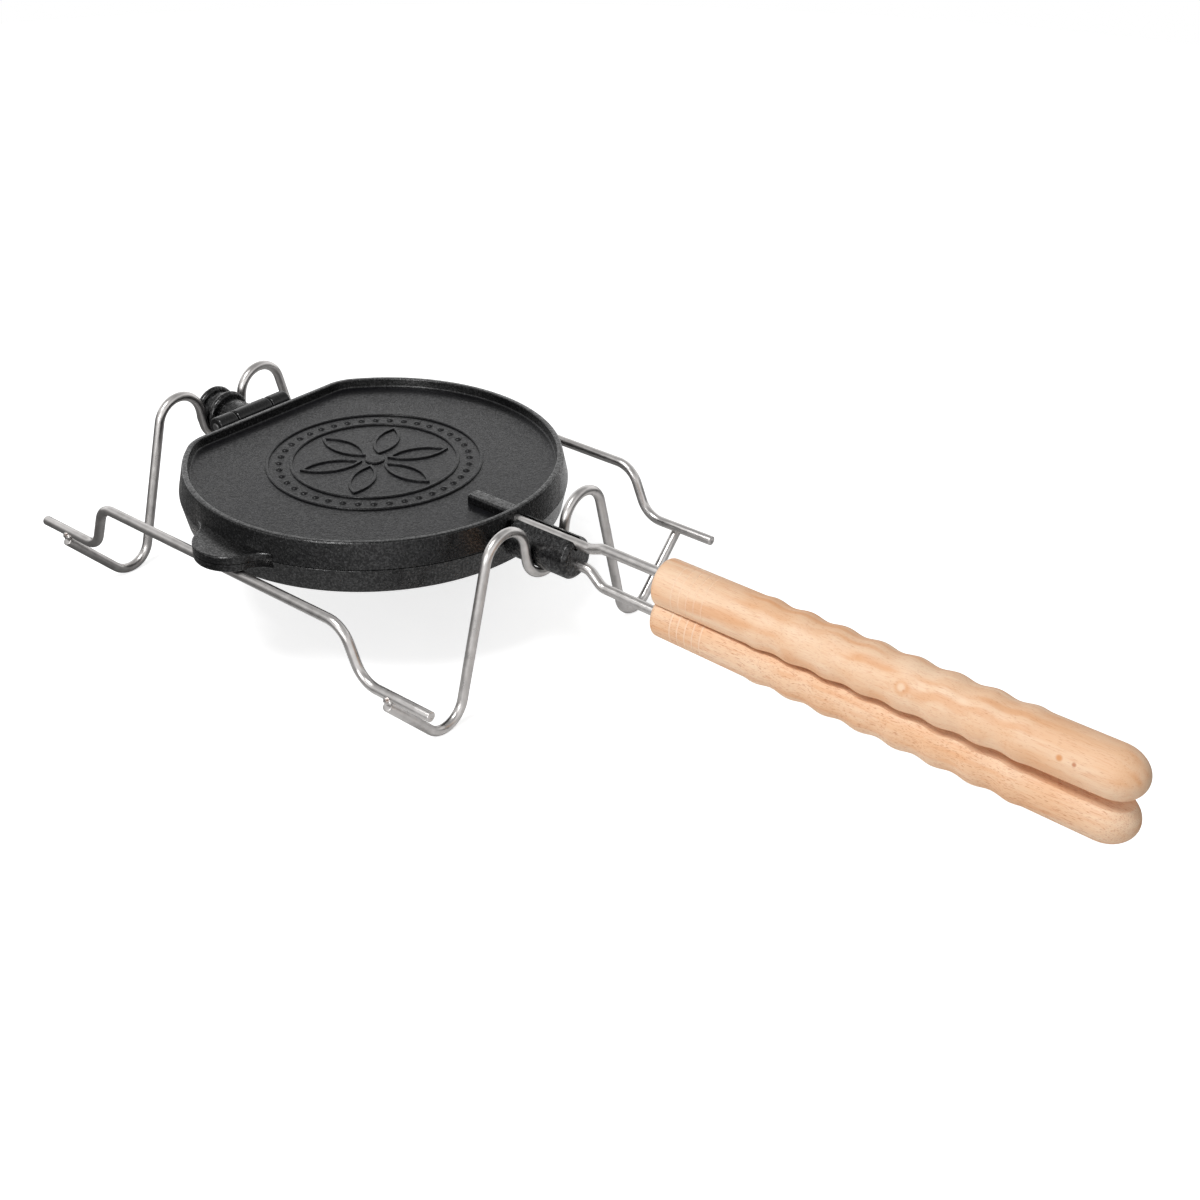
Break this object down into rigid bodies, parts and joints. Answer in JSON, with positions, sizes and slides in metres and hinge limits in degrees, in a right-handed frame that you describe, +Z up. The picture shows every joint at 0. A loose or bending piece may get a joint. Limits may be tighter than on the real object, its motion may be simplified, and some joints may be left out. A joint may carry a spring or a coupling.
{
  "type": "campfire waffle iron",
  "caption": "Hinged round cast-iron waffle iron with half-round wooden grips on steel rods, carried by trunnions in a bent-wire stand so that the closed iron turns over above a fire.",
  "frame": {"origin": "on the ground the stand's feet stand on, under the middle of the whole object's bounding box", "axes": "+X from the hinge end towards the grips, +Y to the far side, +Z up"},
  "size_m": [0.5526, 0.2226, 0.0893],
  "materials": {
    "cast_iron": "seasoned black, satin with a fine cast grain",
    "stainless_wire": "drawn stainless wire, satin",
    "beech": "steamed beech, bare or thinly oiled, fine short flecks",
    "pin_steel": "bright cut steel"
  },
  "bodies": {
    "stand": {"front_side_wire": "stainless_wire", "rear_side_wire": "stainless_wire", "hinge_end_frame": "stainless_wire", "handle_end_frame": "stainless_wire"},
    "lower_iron": {"lower_plate": "cast_iron", "lower_rod": "stainless_wire", "lower_grip": "beech"},
    "upper_iron": {"upper_plate": "cast_iron", "hinge_pin": "pin_steel", "upper_rod": "stainless_wire", "upper_grip": "beech"}
  },
  "joints": [
    {"name": "turn", "type": "hinge", "parent": "stand", "child": "lower_iron", "pos_m": [-0.13646, 0.00268, 0.0692], "axis": [-1, 0, 0], "range_deg": [0, 180]},
    {"name": "open", "type": "hinge", "parent": "lower_iron", "child": "upper_iron", "pos_m": [-0.23096, 0.00268, 0.0752], "axis": [0, -1, 0], "range_deg": [0, 90]}
  ]
}
